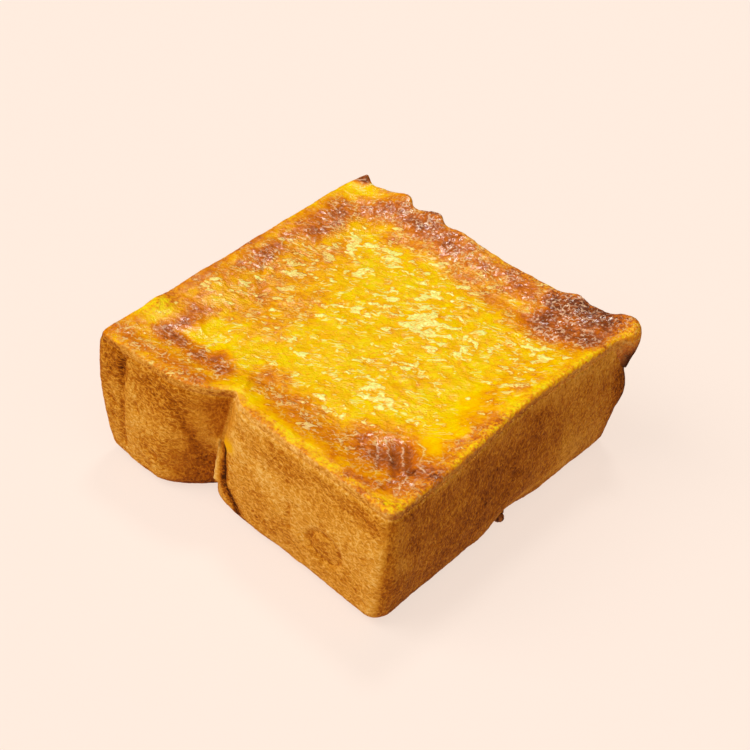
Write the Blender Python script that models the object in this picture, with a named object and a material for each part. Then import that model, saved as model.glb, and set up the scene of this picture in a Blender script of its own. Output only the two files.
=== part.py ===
"""Cheese toast: one thick slice of a square sandwich loaf with cheese baked on its top.

Two solids, in metres, +Z up, resting on Z = 0 with the origin under the middle of their box:

    bread    the slice, lying on its cut face. Its crust stands up as a low rim round the top,
             its sides draw in towards the bottom, and the front is two dough lobes with a
             cleft between them
    cheese   a melted sheet that follows the top of the bread and laps over the rim on to the
             crust. It swells into a lobe at one corner, a spike at the next, and lumps along
             the back edge between them

The front is -Y. Both solids start as a cube that is sliced into a grid, with u, v and w from
-1 to 1 across it. The same few functions then put every point of either grid in its place,
so the cheese fits the bread that it lies on. Sizes are in millimetres until the end.
"""

from collections import namedtuple

import bmesh
import bpy
import numpy as np

MM = 0.001

# ---- The slice ---------------------------------------------------------------------------------
HALF_WIDTH = 56.0  # half of the slice along X
HALF_DEPTH = 59.6  # half of the slice along Y
TOP_ROUNDING = 3.0  # radius of the edge between the top and the sides
BOTTOM_ROUNDING = 6.0  # radius of the edge between the sides and the face that it rests on
BELLY = 1.2  # how far the sides bulge half way up
SOFT_MARGIN = 28.0  # how far in from a side its own unevenness reaches

# Radii of the upright corners, seen from above.
CORNER_FRONT_LEFT = 4.0
CORNER_FRONT_RIGHT = 5.5
CORNER_BACK_RIGHT = 7.5
CORNER_BACK_LEFT = 6.0

# The top of the crust rim at the four corners, because the cut isn't quite level.
RIM_HEIGHT = 41.0
RIM_FRONT_LEFT = 39.8
RIM_FRONT_RIGHT = 40.2
RIM_BACK_RIGHT = 41.6
RIM_BACK_LEFT = 42.6

# How far each side draws in from the top to the bottom.
TAPER_FRONT = -0.3
TAPER_BACK = 2.0
TAPER_RIGHT = 3.0
TAPER_LEFT = 5.0

# How far the left side leans out at the top, at its front end and at its back end.
LEAN_FRONT_LEFT = 1.6
LEAN_BACK_LEFT = 3.2

# The crust rim, and the crumb that is sunken inside it.
RIM_WIDTH = 13.0
DISH_DEPTH = 3.6

# The top edge at the back sags.
BACK_SAG = 1.4
BACK_SAG_X = 16.0
BACK_SAG_LENGTH = 18.0

# ---- The two lobes of the front, and the cleft between them --------------------------------------
CLEFT_X = -14.0  # half way up
CLEFT_LEAN = 6.5  # how much further right its top is than its bottom
CLEFT_LEAN_REACH = 22.0
CLEFT_DEPTH_TOP = 8.5
CLEFT_DEPTH_BOTTOM = 11.0
LEFT_SHOULDER = 16.0  # length of the left lobe's turn into the cleft
LEFT_SHOULDER_CURVE = 1.7  # 1 would be a straight bevel
RIGHT_SHOULDER = 3.6  # the right lobe turns in steeply
RIGHT_LOBE_SHARE = 0.52  # the part of the depth that the right lobe then loses slowly
RIGHT_LOBE_LENGTH = 68.0  # over this length
LEFT_END_TURN = 4.0  # the left lobe's far end turns away again at the bottom
LEFT_END_X = -42.0

# ---- The plain right side ------------------------------------------------------------------------
RIDGE_INSET = 2.6  # the top edge lies this far inside the side's belly
RIDGE_START = 0.2  # the side starts to draw in at this share of the height
HOLLOW_DEPTH = 1.4  # the top edge is drawn in further at its middle
HOLLOW_RISE = 1.2  # and stands higher there
HOLLOW_Y = 6.0
HOLLOW_LENGTH = 28.0
DENT_DEPTH = 2.2  # the bottom edge is dented below that
DENT_TOP = 0.35  # up to this share of the height
DENT_Y = 4.0
DENT_LENGTH = 9.0

# ---- The cheese ----------------------------------------------------------------------------------
GAP = 0.3  # between the cheese and the bread
CHEESE_MIDDLE = 2.6  # thickness on the crumb
CHEESE_RIM = 1.7  # thickness on the rim
CHEESE_HEM = 0.6  # thickness where it ends, at the lower end of the rounded edge

# At the back right corner it hangs further down, as a lap that stands off the crust.
LAP_LENGTH = 6.5
LAP_REACH = 14.0
LAP_GAP = 0.4

# Lumps of melted cheese: middle and reach in plan, and how far each one stands out.
Swelling = namedtuple("Swelling", "middle reach push")
SWELLINGS = {
    "corner_lobe": Swelling((55.0, 58.0), (9.0, 9.0), (1.2, 1.4, 1.2)),
    "spike": Swelling((-55.5, 60.5), (3.0, 3.5), (0.4, 2.6, 4.2)),
    "spike_foot": Swelling((-46.0, 62.0), (6.0, 6.0), (0.0, 1.4, 1.2)),
    "first_lump": Swelling((-39.0, 62.0), (4.2, 6.0), (1.8, 3.6, 2.4)),
    "second_lump": Swelling((-26.0, 62.0), (4.2, 6.0), (1.8, 3.2, 2.4)),
    "low_lump": Swelling((-13.0, 62.0), (6.0, 6.0), (0.0, 0.8, 0.8)),
    "third_lump": Swelling((31.0, 62.0), (4.5, 5.0), (0.8, 2.0, 1.2)),
}

# ---- The grid ------------------------------------------------------------------------------------
EDGE_START = 0.9  # the share of the grid at which the surface starts to turn over an edge
EDGE_STEPS = 4  # from there to the end of the grid
EVEN_STEP = 0.1  # inside it
FINE_LEFT_LINES = (-0.75, -0.65, -0.55, -0.45, -0.35, -0.15)  # for the lumps and the left lobe
CLEFT_LINE = CLEFT_X / HALF_WIDTH
SIDE_LINES = (-0.75, -0.45, -0.15, 0.15, 0.45, 0.75)
LAP_SPAN = 0.06  # the lap's length, as a share of the grid

CRUST_COLOUR = (0.56, 0.24, 0.05, 1.0)
CHEESE_COLOUR = (0.95, 0.52, 0.01, 1.0)
TINY = 1e-9


def smooth_step(low, high, value):
    share = np.clip((value - low) / (high - low), 0.0, 1.0)
    return share * share * (3.0 - 2.0 * share)


def bump(value, middle, reach):
    return np.exp(-(((value - middle) / reach) ** 2))


# ---- The plain slice: a rounded block --------------------------------------------------------------


def outline(u, v):
    """The plan, from the middle outwards: square rings of the grid go to round-cornered ones.
    Returns the ring, from 0 to 1, and the point of the outermost ring in the same direction."""
    ring = np.maximum(np.abs(u), np.abs(v))
    x = u / np.maximum(ring, TINY) * HALF_WIDTH
    y = v / np.maximum(ring, TINY) * HALF_DEPTH
    front = np.where(x < 0.0, CORNER_FRONT_LEFT, CORNER_FRONT_RIGHT)
    back = np.where(x < 0.0, CORNER_BACK_LEFT, CORNER_BACK_RIGHT)
    radius = np.where(y < 0.0, front, back)
    core_x = np.clip(x, radius - HALF_WIDTH, HALF_WIDTH - radius)
    core_y = np.clip(y, radius - HALF_DEPTH, HALF_DEPTH - radius)
    stretch = radius / np.maximum(np.hypot(x - core_x, y - core_y), TINY)
    return ring, core_x + (x - core_x) * stretch, core_y + (y - core_y) * stretch


def inset_point(x, y, inset):
    return x * (1.0 - inset / HALF_WIDTH), y * (1.0 - inset / HALF_DEPTH)


def edge_turn(ring):
    """The angle from the side, 0 at ring 1, to the flat top or bottom, a right angle."""
    return np.clip((1.0 - ring) / (1.0 - EDGE_START), 0.0, 1.0) * np.pi / 2.0


def upper_profile(ring):
    """Inset and height from the middle of the top, over the edge to ring 1, and then down."""
    turn = edge_turn(ring)
    inner = np.clip(1.0 - ring / EDGE_START, 0.0, 1.0) * (HALF_WIDTH - TOP_ROUNDING)
    drop = TOP_ROUNDING * (1.0 - np.sin(turn))
    drop += DISH_DEPTH * smooth_step(0.0, RIM_WIDTH, inner)
    drop += LAP_LENGTH * np.clip((ring - 1.0) / LAP_SPAN, 0.0, None)
    return inner + TOP_ROUNDING * (1.0 - np.cos(turn)), RIM_HEIGHT - drop


def lower_profile(ring):
    """Inset and height from the middle of the bottom to the foot of the side, ring 1."""
    turn = edge_turn(ring)
    inner = np.clip(1.0 - ring / EDGE_START, 0.0, 1.0) * (HALF_WIDTH - BOTTOM_ROUNDING)
    return inner + BOTTOM_ROUNDING * (1.0 - np.cos(turn)), BOTTOM_ROUNDING * (1.0 - np.sin(turn))


# ---- What makes it this slice ------------------------------------------------------------------------


def front_recess(x, low):
    """How far the front lies behind its foremost plane. low is 0 at the top, 1 at the bottom."""
    depth = CLEFT_DEPTH_TOP + (CLEFT_DEPTH_BOTTOM - CLEFT_DEPTH_TOP) * low
    left = np.clip(1.0 - (CLEFT_X - x) / LEFT_SHOULDER, 0.0, 1.0) ** LEFT_SHOULDER_CURVE
    steep = np.exp(-np.clip(x - CLEFT_X, 0.0, None) / RIGHT_SHOULDER)
    slow = np.clip(1.0 - (x - CLEFT_X) / RIGHT_LOBE_LENGTH, 0.0, 1.0)
    right = steep + (slow - steep) * RIGHT_LOBE_SHARE
    left_end = LEFT_END_TURN * low * smooth_step(LEFT_END_X, -HALF_WIDTH, x)
    return depth * np.where(x < CLEFT_X, left, right) + left_end


def right_recess(y, high):
    """How far the right side lies behind its outermost plane. high is 1 at the top."""
    ridge = RIDGE_INSET + HOLLOW_DEPTH * bump(y, HOLLOW_Y, HOLLOW_LENGTH)
    dent = DENT_DEPTH * bump(y, DENT_Y, DENT_LENGTH)
    return ridge * smooth_step(RIDGE_START, 1.0, high) + dent * smooth_step(DENT_TOP, 0.0, high)


def rim_rise(x, y, right, back):
    """How far the top lies above its plain height: the uneven cut, the crown and the sag."""
    along_x = (x / HALF_WIDTH + 1.0) / 2.0
    along_y = (y / HALF_DEPTH + 1.0) / 2.0
    front_rim = RIM_FRONT_LEFT + (RIM_FRONT_RIGHT - RIM_FRONT_LEFT) * along_x
    back_rim = RIM_BACK_LEFT + (RIM_BACK_RIGHT - RIM_BACK_LEFT) * along_x
    crown = HOLLOW_RISE * bump(y, HOLLOW_Y, HOLLOW_LENGTH) * right
    sag = BACK_SAG * bump(x, BACK_SAG_X, BACK_SAG_LENGTH) * back
    return front_rim + (back_rim - front_rim) * along_y - RIM_HEIGHT + crown - sag


def deform(x, y, z):
    """Moves points of the plain slice to where they are on this one."""
    high = np.clip(z / RIM_HEIGHT, 0.0, 1.0)
    low = 1.0 - high
    left = smooth_step(SOFT_MARGIN - HALF_WIDTH, -HALF_WIDTH, x)
    right = smooth_step(HALF_WIDTH - SOFT_MARGIN, HALF_WIDTH, x)
    front = smooth_step(SOFT_MARGIN - HALF_DEPTH, -HALF_DEPTH, y)
    back = smooth_step(HALF_DEPTH - SOFT_MARGIN, HALF_DEPTH, y)
    belly = BELLY * np.sin(np.pi * low)
    backward = smooth_step(-HALF_DEPTH, HALF_DEPTH, y)
    lean = high * (LEAN_FRONT_LEFT + (LEAN_BACK_LEFT - LEAN_FRONT_LEFT) * backward)
    slant = CLEFT_LEAN * (high - 0.5) * bump(x, CLEFT_X, CLEFT_LEAN_REACH)
    new_x = x - left * (belly + lean - TAPER_LEFT * low) + front * slant
    new_x += right * (belly - TAPER_RIGHT * low - right_recess(y, high))
    new_y = y - front * (belly - TAPER_FRONT * low - front_recess(x, low))
    new_y += back * (belly - TAPER_BACK * low)
    return new_x, new_y, z + high * rim_rise(x, y, right, back)


# ---- The two solids ------------------------------------------------------------------------------------


def place_bread(u, v, w):
    ring, x, y = outline(u, v)
    top_inset, top_height = upper_profile(ring)
    low_inset, low_height = lower_profile(ring)
    share = (w + 1.0) / 2.0
    inset = low_inset + (top_inset - low_inset) * share
    return deform(*inset_point(x, y, inset), low_height + (top_height - low_height) * share)


def cheese_lap(x, y):
    """How much a point of the outline belongs to the lap at the back right corner."""
    away = np.hypot(x - HALF_WIDTH, y - HALF_DEPTH)
    return smooth_step(1.5 * LAP_REACH, 0.5 * LAP_REACH, away)


def place_cheese(u, v, w):
    ring, x, y = outline(u, v)
    turn = edge_turn(ring)
    over_edge = 1.0 - turn / (np.pi / 2.0)
    lap = cheese_lap(x, y)
    last_ring = smooth_step(1.0 - (1.0 - EDGE_START) / EDGE_STEPS, 1.0, ring)
    inset, height = upper_profile(ring + LAP_SPAN * lap * last_ring)
    hem = CHEESE_HEM + (CHEESE_RIM - CHEESE_HEM) * lap
    thickness = CHEESE_RIM + (hem - CHEESE_RIM) * over_edge**2
    thickness += (CHEESE_MIDDLE - CHEESE_RIM) * smooth_step(0.0, RIM_WIDTH, inset - TOP_ROUNDING)
    upper = w > 0.0
    offset = GAP + LAP_GAP * lap * over_edge + thickness * upper
    height = height + offset * np.sin(turn)
    x, y, z = deform(*inset_point(x, y, inset - offset * np.cos(turn)), height)
    point = np.stack([x, y, z])
    for lump in SWELLINGS.values():
        share = bump(x, lump.middle[0], lump.reach[0]) * bump(y, lump.middle[1], lump.reach[1])
        point += np.outer(lump.push, share * upper)
    return point


def grid_lines(*extra):
    """Where the cube is sliced: evenly, then closely over the edge, and at any extra lines."""
    even = np.arange(0.0, EDGE_START - EVEN_STEP / 2.0, EVEN_STEP)
    edge = np.linspace(EDGE_START, 1.0, EDGE_STEPS, endpoint=False)
    half = np.concatenate([even, edge])
    return np.unique(np.concatenate([half, -half, extra]))


def sliced_cube(name, lines, place):
    """A cube sliced at the given lines along X, Y and Z, with every point then put in its place."""
    mesh = bmesh.new()
    bmesh.ops.create_cube(mesh, size=2.0)
    for axis in range(3):
        normal = [float(axis == other) for other in range(3)]
        for line in lines[axis]:
            bmesh.ops.bisect_plane(
                mesh,
                geom=mesh.verts[:] + mesh.edges[:] + mesh.faces[:],
                dist=1e-6,
                plane_co=[line * part for part in normal],
                plane_no=normal,
            )
    grid = np.array([vertex.co for vertex in mesh.verts]).T
    for vertex, point in zip(mesh.verts, np.stack(place(*grid), axis=1)):
        vertex.co = point
    bmesh.ops.triangulate(mesh, faces=mesh.faces, quad_method="SHORT_EDGE")
    bmesh.ops.recalc_face_normals(mesh, faces=mesh.faces)
    data = bpy.data.meshes.new(name)
    mesh.to_mesh(data)
    mesh.free()
    return bpy.data.objects.new(name, data)


def material(name, colour, roughness):
    made = bpy.data.materials.new(name)
    made.use_nodes = True
    shader = made.node_tree.nodes["Principled BSDF"]
    shader.inputs["Base Color"].default_value = colour
    shader.inputs["Roughness"].default_value = roughness
    shader.inputs["Metallic"].default_value = 0.0
    return made


def make_bread():
    lines = (grid_lines(CLEFT_LINE, *FINE_LEFT_LINES), grid_lines(), SIDE_LINES)
    bread = sliced_cube("bread", lines, place_bread)
    bread.data.materials.append(material("toasted_bread", CRUST_COLOUR, 0.8))
    return bread


def make_cheese():
    lines = (grid_lines(CLEFT_LINE, *FINE_LEFT_LINES), grid_lines(), ())
    cheese = sliced_cube("cheese", lines, place_cheese)
    cheese.data.materials.append(material("baked_cheese", CHEESE_COLOUR, 0.3))
    return cheese


def centre(parts):
    """Scales the parts to metres, with the origin under the middle of their joint box."""
    points = np.array([vertex.co for part in parts for vertex in part.data.vertices])
    middle = (points.min(axis=0) + points.max(axis=0)) / 2.0
    for part in parts:
        for vertex in part.data.vertices:
            vertex.co.x = (vertex.co.x - middle[0]) * MM
            vertex.co.y = (vertex.co.y - middle[1]) * MM
            vertex.co.z *= MM


def main():
    for leftover in list(bpy.data.objects):
        bpy.data.objects.remove(leftover, do_unlink=True)
    parts = [make_bread(), make_cheese()]
    centre(parts)
    collection = bpy.data.collections.new("cheese_toast")
    bpy.context.scene.collection.children.link(collection)
    for part in parts:
        part.data.shade_smooth()
        collection.objects.link(part)


main()
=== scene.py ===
# %% [markdown]
# # A thick slice of cheese toast
#
# The object is one very thick slice of a square sandwich loaf. It lies on its cut face, and a
# sheet of cheese was baked on its top. This lesson builds what shows of it: the crust round the
# sides, the toasted crumb underneath, the wrinkled sheet of cheese, and the baked grains and
# burnt bits at its edge.
#
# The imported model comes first. It is the frame: everything here is placed by it, and nothing in
# it is moved.

# %% Load the frame
import math

import bpy
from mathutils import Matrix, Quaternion, Vector


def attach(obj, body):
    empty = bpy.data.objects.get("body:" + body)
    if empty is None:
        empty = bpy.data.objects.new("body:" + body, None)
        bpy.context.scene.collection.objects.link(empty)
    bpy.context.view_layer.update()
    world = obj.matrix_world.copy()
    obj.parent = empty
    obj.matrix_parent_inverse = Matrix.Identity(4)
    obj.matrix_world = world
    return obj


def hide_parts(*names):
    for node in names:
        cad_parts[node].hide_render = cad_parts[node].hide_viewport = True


MM = 0.001  # a millimetre in the frame's metres
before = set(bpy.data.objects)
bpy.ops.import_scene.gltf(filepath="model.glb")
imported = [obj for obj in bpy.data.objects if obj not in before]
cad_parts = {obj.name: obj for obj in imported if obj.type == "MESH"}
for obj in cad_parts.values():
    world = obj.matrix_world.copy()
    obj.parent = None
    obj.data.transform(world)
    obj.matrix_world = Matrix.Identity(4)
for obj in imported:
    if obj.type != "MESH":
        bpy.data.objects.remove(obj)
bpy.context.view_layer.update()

# %% [markdown]
# ## Writing nodes as sums
#
# Both the shapes and the finishes below are node trees, and drawing a hundred Math nodes by hand
# would hide what they do. A small class wraps a socket, so that an expression such as
# `1 - mask * 2` adds its own Math nodes. Every other node comes from one method, which takes the
# node's type, its settings, and what goes into its sockets.


# %% A socket that can be added and multiplied
class Value:
    """The output of a node. An expression with it adds Math nodes to its tree."""

    def __init__(self, tree, socket):
        self.tree = tree
        self.socket = socket

    def also(self, name):
        """Another output of the same node."""
        return Value(self.tree, self.socket.node.outputs[name])

    def __add__(self, other):
        return maths("ADD", self, other)

    def __sub__(self, other):
        return maths("SUBTRACT", self, other)

    def __rsub__(self, other):
        return maths("SUBTRACT", other, self)

    def __mul__(self, other):
        return maths("MULTIPLY", self, other)

    def __truediv__(self, other):
        return maths("DIVIDE", self, other)

    def __rtruediv__(self, other):
        return maths("DIVIDE", other, self)

    def __pow__(self, power):
        return maths("POWER", self, power)

    def __abs__(self):
        return maths("ABSOLUTE", self)

    def __neg__(self):
        return maths("MULTIPLY", self, -1.0)

    def __lt__(self, other):
        return maths("LESS_THAN", self, other)

    def __gt__(self, other):
        return maths("GREATER_THAN", self, other)

    __radd__ = __add__
    __rmul__ = __mul__


print("an expression with a", Value.__name__, "in it adds Math nodes")


# %% A tree that takes any node
class Tree:
    """A node tree that is being written."""

    def __init__(self, nodes_and_links):
        self.tree = nodes_and_links

    def node(self, kind, settings=None, inputs=None):
        """Adds a node and returns its first output. Inputs are keyed by name or by number."""
        made = self.tree.nodes.new(kind)
        for name, setting in (settings or {}).items():
            if name == "stops":
                set_stops(made.color_ramp, setting)
            else:
                setattr(made, name, setting)
        sockets = [socket for socket in made.inputs if socket.enabled]
        for key, value in (inputs or {}).items():
            by_name = (socket for socket in sockets if socket.name == key)
            socket = sockets[key] if isinstance(key, int) else next(by_name)
            if isinstance(value, Value):
                self.tree.links.new(value.socket, socket)
            else:
                socket.default_value = value
        outputs = [socket for socket in made.outputs if socket.enabled]
        return Value(self, outputs[0]) if outputs else None


def set_stops(ramp, stops):
    """Gives a colour ramp its stops: (place, colour) pairs."""
    while len(ramp.elements) < len(stops):
        ramp.elements.new(1.0)
    for element, (place, colour) in zip(ramp.elements, stops):
        element.position = place
        element.color = (*colour, 1.0)


def maths(operation, *values):
    """A Math node. What goes in is values of one tree, or plain numbers."""
    tree = next(value.tree for value in values if isinstance(value, Value))
    return tree.node("ShaderNodeMath", {"operation": operation}, dict(enumerate(values)))


print("sockets can be added, subtracted, multiplied, divided, raised and compared")


# %% The few functions that the expressions use
def smaller(a, b):
    return maths("MINIMUM", a, b)


def larger(a, b):
    return maths("MAXIMUM", a, b)


def exponent(value):
    return maths("EXPONENT", value)


def sine(angle):
    return maths("SINE", angle)


def cosine(angle):
    return maths("COSINE", angle)


def clamp(value, low=0.0, high=1.0):
    return larger(smaller(value, high), low)


def choose(condition, if_true, if_false):
    return if_false + (if_true - if_false) * condition


def mix(a, b, share):
    return a + (b - a) * share


def smooth_step(low, high, value):
    """0 at low and 1 at high, with a soft rise between. Low may be the larger of the two."""
    settings = {"interpolation_type": "SMOOTHSTEP"}
    return value.tree.node("ShaderNodeMapRange", settings, {0: value, 1: low, 2: high})


def bump(value, middle, reach):
    """1 at the middle, and close to 0 two reaches away from it."""
    return exponent(-(((value - middle) / reach) ** 2.0))


print("numbers can be clamped, chosen and mixed")


# %% The same for places
def parts_of(vector):
    x = vector.tree.node("ShaderNodeSeparateXYZ", {}, {0: vector})
    return x, x.also("Y"), x.also("Z")


def joined(tree, x, y, z):
    return tree.node("ShaderNodeCombineXYZ", {}, {0: x, 1: y, 2: z})


def vector_maths(operation, a, b):
    key = "Scale" if operation == "SCALE" else 1
    return a.tree.node("ShaderNodeVectorMath", {"operation": operation}, {0: a, key: b})


def moved(place, offset):
    return vector_maths("ADD", place, offset)


def stretched(place, factors):
    return vector_maths("MULTIPLY", place, factors)


def flattened(place):
    x, y, _ = parts_of(place)
    return joined(place.tree, x, y, 0.0)


def turned(place, angle):
    """The place, turned about Z by an angle in radians."""
    x, y, z = parts_of(place)
    ahead, aside = math.cos(angle), math.sin(angle)
    return joined(place.tree, x * ahead + y * aside, y * ahead - x * aside, z)


print("places can be taken apart, moved, stretched and turned")


# %% Patterns
def noise(place, size, seed, detail=2.0, roughness=0.5):
    """Soft patches of about this size, around 0.5."""
    inputs = {
        "Vector": place,
        "W": float(seed),
        "Scale": 1.0 / size,
        "Detail": detail,
        "Roughness": roughness,
    }
    return place.tree.node("ShaderNodeTexNoise", {"noise_dimensions": "4D"}, inputs)


def wobble(place, size, seed, detail=2.0, roughness=0.5):
    """The same patches, around 0."""
    return noise(place, size, seed, detail, roughness) - 0.5


def patches(place, size, seed, low, high, detail=2.0):
    """The same patches with firmer edges: 0 where the noise is below low, 1 where above high."""
    return smooth_step(low, high, noise(place, size, seed, detail))


def creases(place, size, seed, width, detail=1.0):
    """Curly lines that run through the noise where it crosses its middle: 1 on a line."""
    return 1.0 - clamp(abs(wobble(place, size, seed, detail)) / width)


def cells(place, size):
    """Cells of about this size: how far it is to the nearest middle, in sizes of a cell."""
    return place.tree.node("ShaderNodeTexVoronoi", {}, {"Vector": place, "Scale": 1.0 / size})


def warped(place, size, amount, seed):
    """The place, pushed about by noise, so that what is drawn there comes out irregular."""
    push = noise(place, size, seed, 1.0).also("Color")
    centred = vector_maths("SUBTRACT", push, (0.5, 0.5, 0.5))
    return vector_maths("ADD", place, vector_maths("SCALE", centred, 2.0 * amount))


print("noise, creases and cells can be drawn, and bent by noise")


# %% Masks from tables
def segment_distance(point, start, end):
    """How far a point is from the straight line between two others, in a plane."""
    start = Vector((*start, 0.0))
    run = Vector((*end, 0.0)) - start
    along = vector_maths("SUBTRACT", point, tuple(start))
    share = clamp(vector_maths("DOT_PRODUCT", along, tuple(run / run.length_squared)))
    inputs = {0: share, 1: tuple(run), 2: tuple(start)}
    nearest = point.tree.node("ShaderNodeVectorMath", {"operation": "MULTIPLY_ADD"}, inputs)
    return vector_maths("DISTANCE", point, nearest)


def strokes(x, z, table):
    """Soft strokes along segments. Where they meet, the highest and the deepest count."""
    point = joined(x.tree, x, z, 0.0)
    highest, deepest = x * 0.0, x * 0.0
    for start, end, width, height in table.values():
        stroke = height * exponent(-((segment_distance(point, start, end) / width) ** 2.0))
        if height > 0.0:
            highest = larger(highest, stroke)
        else:
            deepest = smaller(deepest, stroke)
    return highest + deepest


def bands(x, y, table):
    """Bands with soft edges along segments. Where they meet, the stronger one counts."""
    point = joined(x.tree, x, y, 0.0)
    strongest = x * 0.0
    for start, end, half_width, strength in table.values():
        away = segment_distance(point, start, end)
        mask = smooth_step(2.0 * half_width, 0.1 * half_width, away)
        strongest = larger(strongest, mask * strength)
    return strongest


def spots(x, y, table):
    """Soft oval spots. Where they meet, they add up."""
    total = x * 0.0
    for middle, reach, strength in table.values():
        total += bump(x, middle[0], reach[0]) * bump(y, middle[1], reach[1]) * strength
    return total


print("a table of segments or spots can be drawn as a soft mask")

# %% [markdown]
# ## The slice as a rule
#
# A slice of bread is a rounded block with a low rim of crust round a sunken top. This one also
# has a front of two dough lobes with a cleft between them, a right side that draws in under its
# top edge, and corners of unequal height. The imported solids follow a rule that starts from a
# square grid with u and v from -1 to 1. The same rule is repeated here, in millimetres, because
# the fine surfaces must lie exactly where the solids are.

# %% Sizes of the slice, in millimetres
HALF_WIDTH = 56.0
HALF_DEPTH = 59.6
CORNERS = {"front left": 3.0, "front right": 5.5, "back right": 7.5, "back left": 6.0}
RIMS = {"front left": 39.8, "front right": 40.2, "back right": 41.6, "back left": 42.6}
RIM_HEIGHT = 41.0
TOP_ROUNDING = 1.9
BOTTOM_ROUNDING = 4.6
BELLY = 1.2
SOFT_MARGIN = 28.0
TAPERS = {"front": -0.3, "back": 2.0, "right": 3.0, "left": 5.0}
LEAN_FRONT_LEFT = 1.6
LEAN_BACK_LEFT = 3.2
BACK_SAG = 1.4
BACK_SAG_X = 16.0
BACK_SAG_LENGTH = 18.0
CLEFT_X = -14.0
CLEFT_LEAN = 6.5
CLEFT_LEAN_REACH = 22.0
CLEFT_DEPTH_TOP = 8.5
CLEFT_DEPTH_BOTTOM = 11.0
LEFT_SHOULDER = 16.0
LEFT_SHOULDER_CURVE = 1.7
RIGHT_SHOULDER = 3.6
RIGHT_LOBE_SHARE = 0.52
RIGHT_LOBE_LENGTH = 68.0
LEFT_END_TURN = 1.8
LEFT_END_X = -42.0
RIDGE_INSET = 2.6
RIDGE_START = 0.2
HOLLOW_DEPTH = 1.4
HOLLOW_RISE = 1.2
HOLLOW_Y = 6.0
HOLLOW_LENGTH = 28.0
DENT_DEPTH = 2.2
DENT_TOP = 0.35
DENT_Y = 4.0
DENT_LENGTH = 9.0
EDGE_START = 0.9
MIDDLE = (-1.36, 1.76, 0.0)  # of the solids' joint box, which the frame has at its origin
TINY = 1e-6
print("the slice is", 2 * HALF_WIDTH, "by", 2 * HALF_DEPTH, "by", RIM_HEIGHT, "mm before it is bent")


# %% The rule: from the grid to the plain block
def outline(u, v):
    """The point of the rounded plan in the direction of a grid point, in millimetres."""
    ring = larger(larger(abs(u), abs(v)), TINY)
    x = u / ring * HALF_WIDTH
    y = v / ring * HALF_DEPTH
    front = choose(x < 0.0, CORNERS["front left"], CORNERS["front right"])
    back = choose(x < 0.0, CORNERS["back left"], CORNERS["back right"])
    radius = choose(y < 0.0, front, back)
    core_x = clamp(x, radius - HALF_WIDTH, HALF_WIDTH - radius)
    core_y = clamp(y, radius - HALF_DEPTH, HALF_DEPTH - radius)
    away = ((x - core_x) ** 2.0 + (y - core_y) ** 2.0) ** 0.5
    stretch = radius / larger(away, TINY)
    return core_x + (x - core_x) * stretch, core_y + (y - core_y) * stretch


def inset_point(x, y, inset):
    """The point that lies this far inside the plan."""
    return x * (1.0 - inset / HALF_WIDTH), y * (1.0 - inset / HALF_DEPTH)


print("the plan has corners rounded by", list(CORNERS.values()), "mm")


# %% The rule: from the plain block to this slice
def front_recess(x, low):
    """How deep the cleft between the lobes is, and what it takes off on both sides of it."""
    depth = CLEFT_DEPTH_TOP + (CLEFT_DEPTH_BOTTOM - CLEFT_DEPTH_TOP) * low
    left = clamp(1.0 - (CLEFT_X - x) / LEFT_SHOULDER) ** LEFT_SHOULDER_CURVE
    steep = exponent(-larger(x - CLEFT_X, 0.0) / RIGHT_SHOULDER)
    slow = clamp(1.0 - (x - CLEFT_X) / RIGHT_LOBE_LENGTH)
    right = steep + (slow - steep) * RIGHT_LOBE_SHARE
    left_end = LEFT_END_TURN * low * smooth_step(LEFT_END_X, -HALF_WIDTH, x)
    return depth * choose(x < CLEFT_X, left, right) + left_end


def right_recess(y, high):
    """How far the right side draws in under its top edge, and in the dent at its foot."""
    ridge = RIDGE_INSET + HOLLOW_DEPTH * bump(y, HOLLOW_Y, HOLLOW_LENGTH)
    dent = DENT_DEPTH * bump(y, DENT_Y, DENT_LENGTH)
    return ridge * smooth_step(RIDGE_START, 1.0, high) + dent * smooth_step(DENT_TOP, 0.0, high)


def rim_rise(x, y, right, back):
    """How much higher than the plain block the rim is: its corners, its crown and its sag."""
    along_x = x / (2.0 * HALF_WIDTH) + 0.5
    along_y = y / (2.0 * HALF_DEPTH) + 0.5
    front_rim = mix(RIMS["front left"], RIMS["front right"], along_x)
    back_rim = mix(RIMS["back left"], RIMS["back right"], along_x)
    crown = HOLLOW_RISE * bump(y, HOLLOW_Y, HOLLOW_LENGTH) * right
    sag = BACK_SAG * bump(x, BACK_SAG_X, BACK_SAG_LENGTH) * back
    return mix(front_rim, back_rim, along_y) - RIM_HEIGHT + crown - sag


def deform(x, y, z):
    """Moves a point of the plain block to where it is on this slice."""
    high = clamp(z / RIM_HEIGHT)
    low = 1.0 - high
    left = smooth_step(SOFT_MARGIN - HALF_WIDTH, -HALF_WIDTH, x)
    right = smooth_step(HALF_WIDTH - SOFT_MARGIN, HALF_WIDTH, x)
    front = smooth_step(SOFT_MARGIN - HALF_DEPTH, -HALF_DEPTH, y)
    back = smooth_step(HALF_DEPTH - SOFT_MARGIN, HALF_DEPTH, y)
    belly = BELLY * sine(math.pi * low)
    backward = smooth_step(-HALF_DEPTH, HALF_DEPTH, y)
    lean = high * mix(LEAN_FRONT_LEFT, LEAN_BACK_LEFT, backward)
    slant = CLEFT_LEAN * (high - 0.5) * bump(x, CLEFT_X, CLEFT_LEAN_REACH)
    new_x = x - left * (belly + lean - TAPERS["left"] * low) + front * slant
    new_x += right * (belly - TAPERS["right"] * low - right_recess(y, high))
    new_y = y - front * (belly - TAPERS["front"] * low - front_recess(x, low))
    new_y += back * (belly - TAPERS["back"] * low)
    return new_x, new_y, z + high * rim_rise(x, y, right, back)


print("the rule takes a grid point to a point of the slice")

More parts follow.
